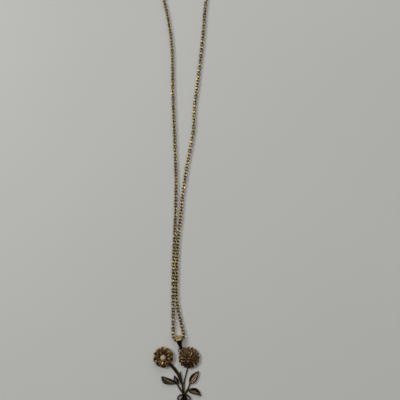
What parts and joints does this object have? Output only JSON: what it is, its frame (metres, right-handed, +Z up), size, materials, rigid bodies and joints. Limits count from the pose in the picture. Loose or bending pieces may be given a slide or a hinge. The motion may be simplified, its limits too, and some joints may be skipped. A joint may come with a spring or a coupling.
{
  "type": "flower pendant necklace",
  "caption": "Gold-tone necklace with a cast bouquet pendant: an open flower with a bead, a domed flower, leaves and a bow, on a fine cable chain.",
  "frame": {"origin": "on the bouquet's flat back, under the knot that ties its stems", "axes": "+X across the pendant to the domed flower's side, +Y from the bow towards the clasp, +Z up from the table, out of the pendant's front"},
  "size_m": [0.0464, 0.2365, 0.0034],
  "materials": {
    "cast_gold": "cast and tumbled, darker in the hollows",
    "polished_gold": "polished",
    "chain_gold": "bright",
    "bead": "pearly"
  },
  "bodies": {
    "root": {"bouquet": "cast_gold", "bead": "bead", "bail": "polished_gold", "chain_left": "chain_gold", "chain_right": "chain_gold", "jump_ring": "polished_gold", "end_ring": "polished_gold", "clasp": "polished_gold"}
  },
  "joints": []
}
